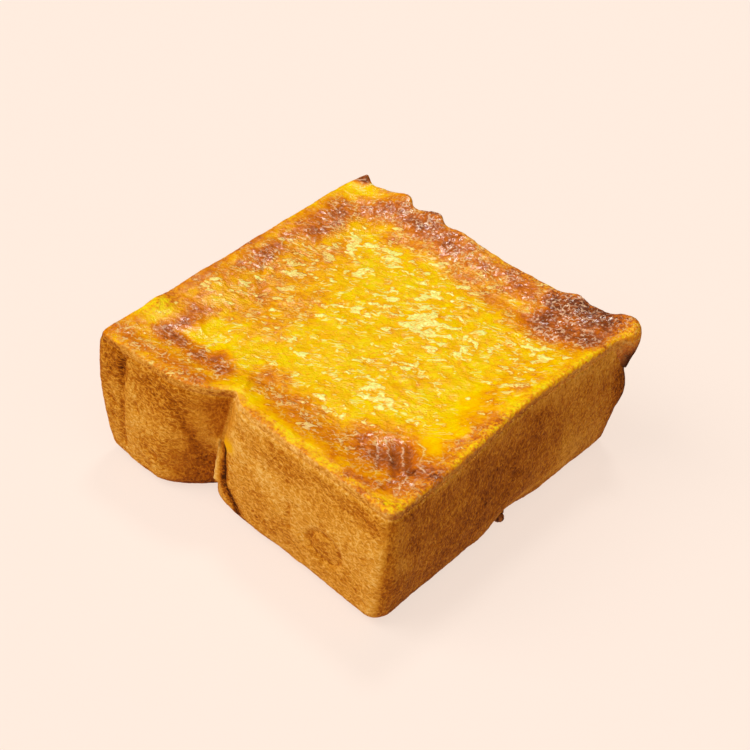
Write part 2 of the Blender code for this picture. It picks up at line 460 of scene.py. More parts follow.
# %% [markdown]
# ## Trees that make pieces
#
# Geometry Nodes grow each main piece from a plain grid. A tree has named inputs for its sizes, so
# that it can be tried with others, and a fixed seed. The finished shape is turned into a plain
# mesh, because only plain meshes ride on the frame and leave Blender whole.

# %% Helpers for trees: a new one, and a block to start from
SOCKET_TYPES = {float: "NodeSocketFloat", int: "NodeSocketInt"}


def geometry_tree(name, sizes):
    """A new tree with these named inputs. Returns it, and its inputs as values."""
    group = bpy.data.node_groups.new(name, "GeometryNodeTree")
    group.interface.new_socket("Geometry", in_out="OUTPUT", socket_type="NodeSocketGeometry")
    material = group.interface.new_socket("Material", socket_type="NodeSocketMaterial")
    for label, size in sizes.items():
        made = group.interface.new_socket(label, socket_type=SOCKET_TYPES[type(size)])
        made.default_value = size
    tree = Tree(group)
    inlet = tree.node("NodeGroupInput")
    return tree, {label: inlet.also(label) for label in ["Material", *sizes]}


def block_grid(tree, steps):
    """A cube from -1 to 1 whose edges have this many points."""
    inputs = {"Size": (2.0, 2.0, 2.0)}
    inputs.update({"Vertices " + axis: count for axis, count in zip("XYZ", steps)})
    return tree.node("GeometryNodeMeshCube", {}, inputs)


print("a tree has sockets for", [kind.__name__ for kind in SOCKET_TYPES], "sizes")

# %% Helpers for trees: moving and joining points
MERGE_DISTANCE = 0.001


def place(geometry, position):
    """Puts every point at a position of its own."""
    inputs = {"Geometry": geometry, "Position": position}
    return geometry.tree.node("GeometryNodeSetPosition", {}, inputs)


def push(geometry, height):
    """Moves the surface out along its own normal."""
    tree = geometry.tree
    normal = tree.node("GeometryNodeInputNormal")
    inputs = {"Geometry": geometry, "Offset": vector_maths("SCALE", normal, height)}
    return tree.node("GeometryNodeSetPosition", {}, inputs)


def merged(geometry):
    """Joins the points that lie on one another, which closes the shape."""
    inputs = {"Geometry": geometry, "Distance": MERGE_DISTANCE}
    return geometry.tree.node("GeometryNodeMergeByDistance", {}, inputs)


print("points closer than", MERGE_DISTANCE, "mm are joined")


# %% Helpers for trees: numbers on points
def remember(geometry, **values):
    """Stores named numbers on every point, which the finish reads as attributes."""
    for name, value in values.items():
        inputs = {"Geometry": geometry, "Name": name, "Value": value}
        kind = "GeometryNodeStoreNamedAttribute"
        geometry = geometry.tree.node(kind, {"data_type": "FLOAT"}, inputs)
    return geometry


def stored(tree, name):
    """A number that was stored, as it was before the points were moved."""
    settings = {"data_type": "FLOAT"}
    return tree.node("GeometryNodeInputNamedAttribute", settings, {"Name": name})


print("a number can be stored on points, and read again")


# %% Helpers for trees: the last nodes, and the finished mesh
def finish_tree(geometry, material):
    """From millimetres to the frame's metres, then the tree's last nodes."""
    tree = geometry.tree
    metres = {
        "Geometry": geometry,
        "Translation": tuple(-MM * middle for middle in MIDDLE),
        "Scale": (MM, MM, MM),
    }
    scaled = tree.node("GeometryNodeTransform", {}, metres)
    smooth = tree.node("GeometryNodeSetShadeSmooth", {}, {"Geometry": scaled})
    real = tree.node("GeometryNodeRealizeInstances", {}, {"Geometry": smooth})
    inputs = {"Geometry": real, "Material": material}
    painted = tree.node("GeometryNodeSetMaterial", {}, inputs)
    tree.node("NodeGroupOutput", {}, {"Geometry": painted})


def grow(name, tree, sizes, material):
    """Evaluates a tree, and returns its result as a plain mesh object."""
    source = bpy.data.objects.new(name, bpy.data.meshes.new(name + "_seed"))
    bpy.context.scene.collection.objects.link(source)
    modifier = source.modifiers.new("growth", "NODES")
    modifier.node_group = tree.tree
    given = {**sizes, "Material": material}
    for item in tree.tree.interface.items_tree:
        if item.in_out == "INPUT":
            modifier[item.identifier] = given[item.name]
    bpy.context.view_layer.update()
    evaluated = source.evaluated_get(bpy.context.evaluated_depsgraph_get())
    mesh = bpy.data.meshes.new_from_object(evaluated)
    source.modifiers.remove(modifier)
    source.data = mesh
    mesh.name = name
    mesh.calc_loop_triangles()
    print(name, "has", len(mesh.vertices), "points and", len(mesh.loop_triangles), "triangles")
    return source


print("a tree ends in metres, and is grown into a plain mesh")

# %% [markdown]
# ## Finishes: bread
#
# Crust is a dry skin. Where it baked against the tin it is golden brown, darker at the edges,
# with short pale wrinkles and mottling of about a millimetre. A photo of bread could be laid over
# it, but noise has no seam and no fixed size. So the numbers that the crust's tree stores say
# where the skin browned and where shade is painted on it, and noise that is bent and stretched
# adds the grain here.


# %% Helpers for finishes
def new_material(name, shader_values):
    """A material with one Principled shader. Returns it, its tree and its shader node."""
    material = bpy.data.materials.new(name)
    material.use_nodes = True
    material.node_tree.nodes.clear()
    tree = Tree(material.node_tree)
    shader = tree.node("ShaderNodeBsdfPrincipled", {}, shader_values)
    tree.node("ShaderNodeOutputMaterial", {}, {"Surface": shader})
    return material, tree, shader.socket.node


def feed(tree, shader, name, value):
    """Leads a value to one of the shader's sockets."""
    tree.tree.links.new(value.socket, shader.inputs[name])


def attribute(tree, name):
    """A number that the piece's tree stored."""
    return tree.node("ShaderNodeAttribute", {"attribute_name": name}).also("Fac")


def object_place(tree):
    """Object coordinates in the slice's own millimetres."""
    metres = tree.node("ShaderNodeTexCoord").also("Object")
    return moved(vector_maths("SCALE", metres, 1.0 / MM), MIDDLE)


print("a finish reads object coordinates in millimetres, and stored numbers")


# %% Helpers for finishes: colours and bumps
def blend(tree, share, colour_a, colour_b):
    settings = {"data_type": "RGBA"}
    return tree.node("ShaderNodeMix", settings, {"Factor": share, "A": colour_a, "B": colour_b})


def ramp(tree, value, colours):
    return tree.node("ShaderNodeValToRGB", {"stops": colours}, {"Fac": value})


def srgb(red, green, blue):
    """A colour as it looks on a screen, from 0 to 255, turned into the light that nodes use."""
    shares = [part / 255.0 for part in (red, green, blue)]
    return tuple(s / 12.92 if s <= 0.04045 else ((s + 0.055) / 1.055) ** 2.4 for s in shares)


def stops(*rows):
    """A ramp's stops, from rows of a place and a screen colour."""
    return tuple((at, srgb(*colour)) for at, *colour in rows)


def bumped(tree, height):
    """The normal of a bump whose height is in millimetres."""
    return tree.node("ShaderNodeBump", {}, {"Distance": MM, "Height": height})


print("mid grey on a screen is", round(srgb(128, 128, 128)[0], 3), "of white's light")


# %% Grain and colour of the crust
CRUST_STOPS = stops(
    (0.0, 252, 200, 108),
    (0.25, 238, 168, 62),
    (0.45, 218, 142, 34),
    (0.65, 186, 102, 8),
    (0.85, 138, 66, 2),
    (1.0, 78, 34, 4),
)
# how strong each is on the front, and on the other sides
GRAIN_CONTRAST = (0.94, 0.95)
WRINKLE_CONTRAST = (0.3, 0.16)
PATCH_CONTRAST = (0.5, 0.4)
DARKEST_GRAIN = -0.2
LYING = (0.7, 0.7, 1.3)  # a pattern that is squeezed like this in x, y and z lies flat


def crust_grain(where, side):
    """Short wrinkles, around 0. On the front they lie flat, and up the other sides they stand."""
    bent = warped(where, 2.5, 1.0, 5)
    lying = noise(stretched(bent, LYING), 0.9, 6, 3.0, 0.6)
    standing = noise(stretched(bent, (1.0, 1.2, 0.8)), 0.8, 7, 3.0, 0.6)
    return mix(lying, standing, side) - 0.5


def crust_wrinkles(where, side):
    """Thin raised lines of the skin: 1 on a line."""
    bent = warped(where, 2.0, 1.0, 8)
    lying = creases(stretched(bent, LYING), 1.5, 9, 0.07, 2.0)
    standing = creases(stretched(bent, (1.0, 1.2, 0.7)), 1.4, 10, 0.07, 2.0)
    return mix(lying, standing, side)


def crust_colour(tree, where, browned, side):
    """Golden skin, pale on its wrinkles. browned is 0 where it is palest."""
    patchy = wobble(warped(where, 9.0, 3.0, 4), 7.0, 3, 3.0) * mix(*PATCH_CONTRAST, side)
    wrinkles = crust_wrinkles(where, side) * mix(*WRINKLE_CONTRAST, side) - 0.05
    grain = crust_grain(where, side) * mix(*GRAIN_CONTRAST, side)
    # paler where grain and wrinkles stand up: partly the skin's own colour, partly painted highlight
    # on the ridges
    return ramp(tree, browned + patchy - larger(grain + wrinkles, DARKEST_GRAIN), CRUST_STOPS)


print("the crust's ramp has", len(CRUST_STOPS), "stops")

# %% The crust's finish
CRUST_ROUGHNESS = 0.62
SMEAR_COLOUR = (*srgb(246, 178, 4), 1.0)
GRAIN_BUMP = 0.5
WRINKLE_BUMP = 0.08
crust_finish, tree, shader = new_material(
    "golden_crust", {"Roughness": CRUST_ROUGHNESS, "Specular IOR Level": 0.08}
)
where = object_place(tree)
browned, side = attribute(tree, "browned"), attribute(tree, "side")
golden = crust_colour(tree, where, browned, side)
colour = blend(tree, attribute(tree, "smeared"), golden, SMEAR_COLOUR)
feed(tree, shader, "Base Color", colour)
skin = crust_grain(where, side) * GRAIN_BUMP + crust_wrinkles(where, side) * WRINKLE_BUMP
feed(tree, shader, "Normal", bumped(tree, skin))
print("made", crust_finish.name)

# %% The toasted crumb's finish
CRUMB_STOPS = stops((0.0, 246, 222, 168), (0.5, 232, 186, 112), (1.0, 186, 118, 50))
crumb_finish, tree, shader = new_material(
    "toasted_crumb", {"Roughness": 0.8, "Specular IOR Level": 0.2}
)
where = object_place(tree)
# pores are painted darker: painted shade in them
toasting = noise(where, 16.0, 31) * 1.2 - 0.15 + attribute(tree, "pore") * 0.35
feed(tree, shader, "Base Color", ramp(tree, toasting, CRUMB_STOPS))
feed(tree, shader, "Normal", bumped(tree, noise(where, 0.7, 32) * 0.3))
print("made", crumb_finish.name)

# %% [markdown]
# ## Finish: baked cheese
#
# Melted cheese bakes to a thin glossy skin over a yellow body. It goes from yellow through
# orange to brown where it baked longest. On the yellow skin, pale ragged flakes and long thin
# streaks are painted highlights, and on the brown skin short pale curls are painted glints.
#
# A ramp turns the stored `baked` number into the colour of the body. The painted highlights
# are drawn over it, in paler colours: each is noise that is bent, pulled in one direction and cut
# off at a level. Near the edge the colour becomes the crust's own, so that the sheet melts into the
# bread without a seam.

# %% Patterns of the cheese's skin
STREAK_TURN = math.radians(34.0)
FLAKE_SIZE = 3.4
CLUSTER_SIZE = 8.0
CLUSTERING = 0.4
FLAKE_LEVEL = 0.67
FLAKE_GAIN = 0.21
STREAK_SIZE = 2.4
CURL_SIZE = 1.7


def drawn_out(place, seed, along, across):
    """Bends a pattern and stretches it in the direction that the skin was pulled in."""
    return stretched(turned(warped(place, 4.0, 1.4, seed), STREAK_TURN), (along, across, 1.0))


def flake_highlight_level(where, flaky):
    """Above 0 on the pale flakes of painted highlight: ragged, drawn out, and in clusters."""
    ragged = noise(drawn_out(where, 71, 0.75, 1.25), FLAKE_SIZE, 72, 4.0, 0.6)
    clusters = wobble(where, CLUSTER_SIZE, 73) * CLUSTERING
    return ragged + clusters + flaky * FLAKE_GAIN - FLAKE_LEVEL


def highlight_flakes(where, flaky):
    """1 on a flake of painted highlight."""
    return smooth_step(0.0, 0.03, flake_highlight_level(where, flaky))


def streaks(where):
    """Long thin lines of painted highlight, also raised in the relief: 1 on a line, in patches."""
    lines = creases(drawn_out(where, 55, 0.4, 1.6), STREAK_SIZE, 74, 0.05)
    return lines * patches(where, 5.0, 75, 0.47, 0.57)


def curls(where):
    """Short curls of painted glint on the brown skin: lines that are broken up, and in patches."""
    lines = smooth_step(0.3, 0.75, creases(warped(where, 1.6, 0.8, 13), CURL_SIZE, 14, 0.11))
    return lines * patches(where, 4.0, 18, 0.34, 0.54) * patches(where, 1.1, 25, 0.4, 0.54, 1.0)


print("flakes are about", FLAKE_SIZE, "mm across, and curls", CURL_SIZE, "mm")

# %% Colours and glints of the cheese
CHEESE_STOPS = stops(
    (0.0, 255, 216, 0),
    (0.1, 255, 197, 0),
    (0.2, 255, 184, 0),
    (0.4, 238, 142, 4),
    (0.6, 212, 108, 14),
    (0.8, 166, 80, 22),
    (1.0, 112, 50, 16),
)
# colours of the painted highlights: cream on the yellow skin, pinkish on the brown
HIGHLIGHT_STOPS = stops((0.15, 255, 251, 146), (0.38, 255, 220, 116), (0.66, 244, 194, 152))
GLINTS = {
    # start (x, y), end (x, y), width, strength
    "in the slot": ((35.8, -33.3), (41.4, -40.4), 0.22, 1.0),
    "left curl": ((30.2, -34.2), (37.1, -40.2), 0.22, 0.8),
    "left curl's end": ((28.5, -36.0), (32.8, -40.5), 0.2, 0.7),
    "left curl's foot": ((32.8, -40.5), (38.2, -48.4), 0.3, 0.8),
    "right curl": ((37.1, -29.5), (41.1, -30.2), 0.22, 0.8),
    "right curl's side": ((41.1, -30.2), (43.7, -35.7), 0.22, 0.7),
    "right curl's foot": ((43.7, -35.7), (46.5, -34.5), 0.25, 0.8),
    "below the right curl": ((43.9, -37.8), (47.4, -38.8), 0.35, 0.9),
    "towards the corner": ((44.7, -42.3), (47.4, -51.3), 0.25, 0.9),
}


def glints(where):
    """The brightest lines of the glossy patch, made curly and broken up."""
    curly_x, curly_y, _ = parts_of(warped(flattened(where), 2.0, 1.1, 24))
    return strokes(curly_x, curly_y, GLINTS) * patches(where, 1.0, 23, 0.35, 0.55)


print("the cheese's ramp has", len(CHEESE_STOPS), "stops, and", len(GLINTS), "glints are drawn")

# %% The cheese's finish: painted highlights and painted shade on the skin
cheese_finish, tree, shader = new_material(
    "baked_cheese", {"Specular IOR Level": 0.22, "Coat Roughness": 0.12}
)
where = object_place(tree)
flat = flattened(where)
baked, flaky = attribute(tree, "baked"), attribute(tree, "flaky")
furrow = creases(drawn_out(flat, 19, 0.6, 1.3), 1.3, 20, 0.06, 2.0) * smooth_step(0.0, 0.3, flaky)
flake = highlight_flakes(flat, flaky)
flake_shade_rim = smooth_step(-0.08, -0.02, flake_highlight_level(flat, flaky)) * (1.0 - flake)
flake *= (0.3 + noise(where, 0.8, 17) * 1.2) * (1.0 - furrow * 0.8) * smooth_step(0.8, 0.5, baked)
streak = smooth_step(0.35, 0.75, streaks(flat)) * smooth_step(0.05, 0.3, flaky)
curl = curls(where) * attribute(tree, "wrinkled") * smooth_step(0.2, 0.5, baked)
glint = glints(where)
print("flakes and streaks lie on the yellow skin, curls and glints on the brown skin")

# %% The cheese's finish: colour
gritty, crust_share = attribute(tree, "gritty"), attribute(tree, "crust_share")
grit = wobble(where, 0.9, 21, 3.0) * gritty
mottle = wobble(where, 3.0, 11, 3.0) * 0.3 + wobble(where, 1.0, 12) * 0.25
# furrows and the rims round the flakes are painted darker: painted shade beside the painted
# highlights
shade = baked + mottle * (0.9 + baked * 0.7) + furrow * 0.1 + flake_shade_rim * 0.12 + grit
body_colour = ramp(tree, shade + crust_share * 0.3, CHEESE_STOPS)
# the painted highlights: flakes, streaks, glints and curls, in paler colours over the body
painted_highlight = clamp(larger(larger(flake, streak * 0.7), glint) + curl * 0.8)
skin_colour = blend(tree, painted_highlight, body_colour, ramp(tree, baked, HIGHLIGHT_STOPS))
browned, side = attribute(tree, "browned"), attribute(tree, "side")
edge_colour = crust_colour(tree, where, browned, side)
feed(tree, shader, "Base Color", blend(tree, crust_share, skin_colour, edge_colour))
print("the body's colour shows between what lies on the skin")

# %% The cheese's finish: gloss and relief
GLOSSY = 0.16
COAT_ON_YELLOW = 0.04
COAT_ON_BROWN = 0.35
# heights in millimetres
FINE_ON_YELLOW = 0.09
FINE_ON_BROWN = 0.17
CURL_BUMP = 0.1
FLAKE_BUMP = 0.02
STREAK_BUMP = 0.03
FURROW_BUMP = -0.05
GRIT_BUMP = 0.5
EDGE_BUMP = 0.4
shiny = 1.0 - crust_share
glossy = GLOSSY + baked * 0.07 + gritty * 0.22
feed(tree, shader, "Roughness", mix(CRUST_ROUGHNESS, glossy, shiny))
coat = mix(COAT_ON_YELLOW, COAT_ON_BROWN, smooth_step(0.3, 0.6, baked))
feed(tree, shader, "Coat Weight", coat * shiny)
fine = wobble(warped(where, 1.2, 0.5, 15), 0.7, 16) * mix(FINE_ON_YELLOW, FINE_ON_BROWN, baked)
skin = fine + larger(curl, glint) * CURL_BUMP + flake * FLAKE_BUMP
skin += streak * STREAK_BUMP + furrow * FURROW_BUMP + grit * GRIT_BUMP
height = mix(skin, crust_grain(where, side) * EDGE_BUMP, crust_share)
feed(tree, shader, "Normal", bumped(tree, height))
print("made", cheese_finish.name)

# %% [markdown]
# ## The crust
#
# On the real slice the crust is the tin-baked skin round the four sides. It could be modelled as
# a box with its edges rounded, but it is really a band: up the sides, over the top edge, and
# under the cheese. So the tree takes the walls of a cube, wraps them along the crust's profile,
# and joins the two hidden ends inside the bread, which closes the band like a ring.

# %% Where the crust is creased and dented
FRONT_CREASES = {
    # start (x, z), end (x, z), width, depth
    "left end": ((-46.0, 40.0), (-44.5, 8.0), 1.3, 0.9),
    "left end fold": ((-50.0, 22.0), (-45.5, 19.5), 0.9, 0.5),
    "left end lower fold": ((-49.0, 16.5), (-45.0, 15.0), 0.9, 0.4),
    "pit by the left end": ((-39.8, 25.0), (-39.3, 24.0), 1.1, 0.7),
    "lobe arc": ((-26.0, 34.0), (-20.0, 23.0), 1.6, 0.4),
    "lobe arc's foot": ((-20.0, 23.0), (-17.5, 13.0), 1.4, 0.3),
    "lobe low arc": ((-34.0, 12.0), (-24.0, 7.5), 1.6, 0.4),
    "right lobe upper": ((-5.0, 33.0), (4.0, 28.5), 2.0, 0.5),
    "right lobe band": ((4.0, 28.5), (24.0, 30.0), 1.8, 0.35),
    "right lobe mark": ((17.3, 22.0), (17.8, 15.0), 0.8, 0.6),
    "crevice": ((-11.0, 22.0), (-10.2, 12.0), 1.5, 1.3),
    "crevice's foot": ((-10.4, 12.0), (-4.5, 5.0), 1.6, 0.8),
}
LIP = {
    # start (x, z), end (x, z), width, height
    "lip": ((-14.0, 23.0), (-13.6, 9.0), 0.9, 1.5),
}
OVAL_DENT = {"middle": (31.5, 16.0), "reach": (5.6, 4.6), "width": 0.25, "depth": 0.8}


def oval_dent(x, z):
    """A ring-shaped groove round a shallow dent."""
    (middle_x, middle_z), (reach_x, reach_z) = OVAL_DENT["middle"], OVAL_DENT["reach"]
    away = (((x - middle_x) / reach_x) ** 2.0 + ((z - middle_z) / reach_z) ** 2.0) ** 0.5
    ring = bump(away, 1.0, OVAL_DENT["width"])
    return (ring + 0.5 * smooth_step(1.0, 0.3, away)) * OVAL_DENT["depth"]


def crust_swell(where):
    """Uneven puffiness of the crust, 5 to 20 mm across."""
    return wobble(where, 14.0, 21) * 1.6 + wobble(where, 4.0, 22) * 0.6


print("the front has", len(FRONT_CREASES), "creases and an oval dent")


# %% How brown the crust is
FRONT_SHADES = {
    # start (x, z), end (x, z), width, how much darker (below 0: lighter)
    "above the smear": ((-13.5, 38.0), (-12.5, 29.0), 2.6, 0.06),
    # the crevice and its foot: painted shade in the crevice
    "crevice": ((-10.8, 22.0), (-10.0, 12.0), 2.2, 0.5),
    "crevice's foot": ((-10.2, 12.0), (-3.5, 4.0), 2.6, 0.5),
    "left lobe's upper edge": ((-46.0, 36.0), (-20.0, 33.0), 6.0, 0.16),
    # painted light on the facet beyond the fold
    "beyond the fold": ((-19.0, 32.0), (-16.0, 18.0), 2.4, -0.2),
    # the lobe arc and its foot: painted shade in the fold
    "lobe arc": ((-26.0, 34.0), (-20.6, 23.0), 1.3, 0.06),
    "lobe arc's foot": ((-20.6, 23.0), (-18.0, 12.0), 1.3, 0.05),
    "left lobe's belly": ((-36.0, 20.0), (-26.0, 18.0), 6.0, -0.05),
    "right lobe's upper band": ((10.0, 36.0), (48.0, 36.0), 4.5, 0.14),
    "right lobe's foot": ((4.0, 9.0), (46.0, 9.0), 6.0, 0.07),
    "right lobe's pale band": ((-3.0, 27.0), (20.0, 23.0), 4.0, -0.09),
    "right lobe's corner": ((50.0, 30.0), (51.0, 6.0), 3.0, -0.05),
}
SIDE_SHADES = {
    # start (y, z), end (y, z), width, how much darker (below 0: lighter)
    "by the front corner": ((-56.0, 36.0), (-54.0, 22.0), 3.5, -0.14),
    "streak from the front corner": ((-52.0, 38.0), (-47.0, 24.0), 2.5, 0.06),
    "middle": ((-10.0, 22.0), (6.0, 22.0), 12.0, 0.05),
    "far patch": ((26.0, 14.0), (40.0, 14.0), 5.0, -0.09),
    # painted shade at the far corner
    "far corner": ((56.0, 30.0), (56.0, 5.0), 5.0, 0.34),
    # painted shade along the foot
    "foot": ((-50.0, 1.0), (50.0, 1.0), 2.5, 0.12),
    # painted highlight along the fold by the foot
    "pale fold by the foot": ((-4.0, 6.5), (34.0, 9.0), 1.5, -0.16),
    "under the cheese": ((-40.0, 40.0), (50.0, 40.0), 3.0, -0.1),
    # painted shade under the overhanging lobe
    "far corner under the lobe": ((57.0, 35.0), (57.0, 22.0), 3.5, 0.4),
}
# the front, facing the key light, is palest and the right side, in its shade, darkest: partly the
# crust's own colour, partly painted light and shade
BROWN_FRONT = 0.4
BROWN_RIGHT = 0.67
BROWN_ELSEWHERE = 0.56


def crust_browning_and_shade(where, normal):
    """0 for the palest crust, 1 for the darkest."""
    x, y, z = parts_of(where)
    normal_x, normal_y, normal_z = parts_of(normal)
    front = smooth_step(0.25, 0.75, -normal_y)
    right = smooth_step(0.3, 0.8, normal_x)
    base = mix(mix(BROWN_ELSEWHERE, BROWN_FRONT, front), BROWN_RIGHT, right)
    low_edge = smooth_step(5.0, 0.0, z) * 0.3
    left_lobe = smooth_step(-10.0, -17.0, x) * 0.1
    pale_stripe = bump(x, -41.0, 3.5) * -0.15
    left_end = smooth_step(-44.5, -47.0, x) * mix(0.0, 0.12, smooth_step(20.0, 34.0, z))
    far_right = smooth_step(0.0, 35.0, y) * -0.12
    # crust that faces up near the top edge is painted lighter: painted light on the rounding
    on_top = smooth_step(0.15, 0.8, normal_z) * smooth_step(30.0, 38.0, z)
    on_top *= smooth_step(-24.0, -10.0, x) * -0.17 - smooth_step(44.0, 52.0, x) * 0.08
    front_only = left_lobe + pale_stripe + left_end + strokes(x, z, FRONT_SHADES)
    right_only = far_right + strokes(y, z, SIDE_SHADES)
    return base + low_edge + on_top + front * front_only + right * right_only


print("the front has", len(FRONT_SHADES), "shades and the right side", len(SIDE_SHADES))

# %% The crust's profile
WALL_STEPS = (214, 227, 104)
PROFILE = {
    # stretch of the band: (first share, last share) of its rows
    "inner wall": (0.0, 0.02),
    "underside": (0.02, 0.08),
    "foot": (0.08, 0.25),
    "side": (0.25, 0.86),
    "top edge": (0.86, 0.95),
    "rim": (0.95, 0.98),
    "inner rim": (0.98, 1.0),
}
CRUST_SIZES = {"Band Width": 10.0, "Relief": 1.0, "Inner Height": 20.0}
RIM_DIP = 3.0  # from the top edge down to the rim's inner end
QUARTER_TURN = math.pi / 2.0


def stretch_share(along, name):
    """How much of one stretch of the profile lies behind this place: 0 to 1."""
    start, end = PROFILE[name]
    return clamp((along - start) / (end - start))


def crust_profile(along, sizes):
    """Inset and height of the band, from its hidden end, under the slice, up and over the rim."""
    foot = stretch_share(along, "foot") * QUARTER_TURN
    edge = stretch_share(along, "top edge") * QUARTER_TURN
    rim = stretch_share(along, "rim")
    inset = (sizes["Band Width"] - BOTTOM_ROUNDING) * (1.0 - stretch_share(along, "underside"))
    inset += BOTTOM_ROUNDING * (1.0 - sine(foot)) + TOP_ROUNDING * (1.0 - cosine(edge))
    inset += (sizes["Band Width"] - TOP_ROUNDING) * rim
    height = sizes["Inner Height"] * (1.0 - stretch_share(along, "inner wall"))
    height += BOTTOM_ROUNDING * (1.0 - cosine(foot)) + TOP_ROUNDING * sine(edge)
    height += (RIM_HEIGHT - TOP_ROUNDING - BOTTOM_ROUNDING) * stretch_share(along, "side")
    height -= RIM_DIP * rim
    return inset, mix(height, sizes["Inner Height"], stretch_share(along, "inner rim"))


print("the band has", len(PROFILE), "stretches and", WALL_STEPS[2], "rows")

# %% The crust's tree: the band
tree, sizes = geometry_tree("crust_band", CRUST_SIZES)
_, _, flat_normal = parts_of(tree.node("GeometryNodeInputNormal"))
ends = {"Geometry": block_grid(tree, WALL_STEPS), "Selection": abs(flat_normal) > 0.5}
walls = tree.node("GeometryNodeDeleteGeometry", {"domain": "FACE"}, ends)
u, v, w = parts_of(tree.node("GeometryNodeInputPosition"))
along = w * 0.5 + 0.5
inset, height = crust_profile(along, sizes)
block = inset_point(*outline(u, v), inset)
band = remember(walls, along=along)
band = merged(place(band, joined(tree, *deform(*block, height))))
print("the cube's walls are wrapped along the profile")

# %% The crust's tree: creases, masks and relief
SMEAR = {
    # middle (x, z), reach (x, z), strength
    "smear of cheese": ((-7.8, 26.0), (2.6, 2.1), 1.0),
    "its end in the cleft": ((-10.6, 24.6), (1.5, 1.8), 0.8),
}
BACK_BULGE = 1.6
SKIN_SINK = 0.35  # so that the swelling skin stays about the solid's surface
GRAIN_RELIEF = 0.4
where = tree.node("GeometryNodeInputPosition")
x, y, z = parts_of(where)
normal = tree.node("GeometryNodeInputNormal")
normal_x, normal_y, _ = parts_of(normal)
front = smooth_step(0.3, 0.7, -normal_y)
side = smooth_step(0.3, 0.8, abs(normal_x))
along = stored(tree, "along")
shown = smooth_step(0.06, 0.12, along) * smooth_step(0.99, 0.93, along)
creasing = (strokes(x, z, FRONT_CREASES) + oval_dent(x, z)) * front
lip = strokes(x, z, LIP) * front
relief = (crust_swell(where) - SKIN_SINK - creasing + lip) * sizes["Relief"]
relief += bump(z, 22.0, 6.0) * smooth_step(50.0, 58.0, y) * BACK_BULGE
relief += crust_grain(where, side) * GRAIN_RELIEF
# creases and the oval dent are painted darker, as painted shade in them, and the lip is painted
# paler
browned = crust_browning_and_shade(where, normal) + creasing * 0.22 - lip * 0.3
smeared = clamp(spots(x, z, SMEAR) * front * 1.3 - 0.15)
band = remember(band, browned=browned, side=side, smeared=smeared)
finish_tree(push(band, relief * shown), sizes["Material"])
crust = grow("crust", tree, CRUST_SIZES, crust_finish)

# %% [markdown]
# ## The crumb underneath
#
# The slice lies on its other cut face. It is hidden in most views, but the piece is looked at
# from all sides: toasted crumb is flat where the knife cut it, and full of small pores. Pores
# could be cut out as holes, but they are shallow dents, and rounded cells of noise give many at
# once. So a flat block takes the slice's outline, and its underside is lifted where a pore is.

# %% The crumb's tree
CRUMB_STEPS = (170, 181, 3)
CRUMB_SIZES = {"Pore Size": 2.2, "Pore Depth": 0.9, "Thickness": 12.0, "Inset": 7.0}
PORE_REACH = 0.45  # of a cell
CUT_LIFT = 0.12  # keeps the cut face just above the ground
tree, sizes = geometry_tree("crumb_slab", CRUMB_SIZES)
u, v, w = parts_of(tree.node("GeometryNodeInputPosition"))
ring = larger(abs(u), abs(v))
inset = (1.0 - ring) * HALF_WIDTH + sizes["Inset"] * ring
height = (w * 0.5 + 0.5) * sizes["Thickness"]
block = inset_point(*outline(u, v), inset)
slab = place(block_grid(tree, CRUMB_STEPS), joined(tree, *deform(*block, height)))
where = tree.node("GeometryNodeInputPosition")
x, y, z = parts_of(where)
hole = 1.0 - cells(warped(where, 6.0, 1.2, 41), sizes["Pore Size"]) / PORE_REACH
pore = clamp(hole * (noise(where, 9.0, 42) * 1.5))
slab = remember(slab, pore=pore)
lift = (pore * sizes["Pore Depth"] + CUT_LIFT) * (z < 0.01)
slab = place(slab, joined(tree, x, y, z + lift))
finish_tree(slab, sizes["Material"])
crumb = grow("crumb", tree, CRUMB_SIZES, crumb_finish)

# %% [markdown]
# ## The cheese
#
# The cheese is a sheet that follows the sunken top, goes over the rim and ends on the crust. At
# the back right corner it ran down the side, and along the back edge it baked into lumps. It
# could be a cloth that is dropped on the bread, but then every lump would land by chance. So it
# is a grid that the slice's own rule bends to its place, and the lumps are swellings at places
# taken from the real one. The last rings are gathered to one point under it, which closes it.
#
# How it baked differs from place to place, so tables of bands and spots say where the skin is
# brown, calm, gritty or flaky; flaky is where pale flakes of painted highlight gather. Its relief
# is waves, flakes, streaks and creases of noise.

# %% Where the cheese swells and laps
SWELLINGS = {
    # middle (x, y), reach (x, y), how far it stands out (x, y, z)
    "corner lobe": ((55.0, 58.0), (9.0, 9.0), (1.2, 1.4, 1.2)),
    "front right corner": ((52.0, -57.5), (3.5, 3.0), (0.5, -0.6, 0.4)),
    "lump on the left rim": ((-54.0, -37.0), (3.5, 3.5), (-0.2, 0.0, 0.9)),
    "spike": ((-55.5, 60.5), (3.0, 3.5), (0.4, 2.6, 4.2)),
    "spike foot": ((-46.0, 62.0), (6.0, 6.0), (0.0, 1.4, 1.2)),
    "first lump": ((-39.0, 62.0), (4.2, 6.0), (1.8, 3.6, 2.4)),
    "second lump": ((-26.0, 62.0), (4.2, 6.0), (1.8, 3.2, 2.4)),
    "low lump": ((-13.0, 62.0), (6.0, 6.0), (0.0, 0.8, 0.8)),
    "third lump": ((31.0, 62.0), (4.5, 5.0), (0.8, 2.0, 1.2)),
}
LAP_LENGTH = 10.5
LAP_REACH = 9.0
print("the cheese swells in", len(SWELLINGS), "places")

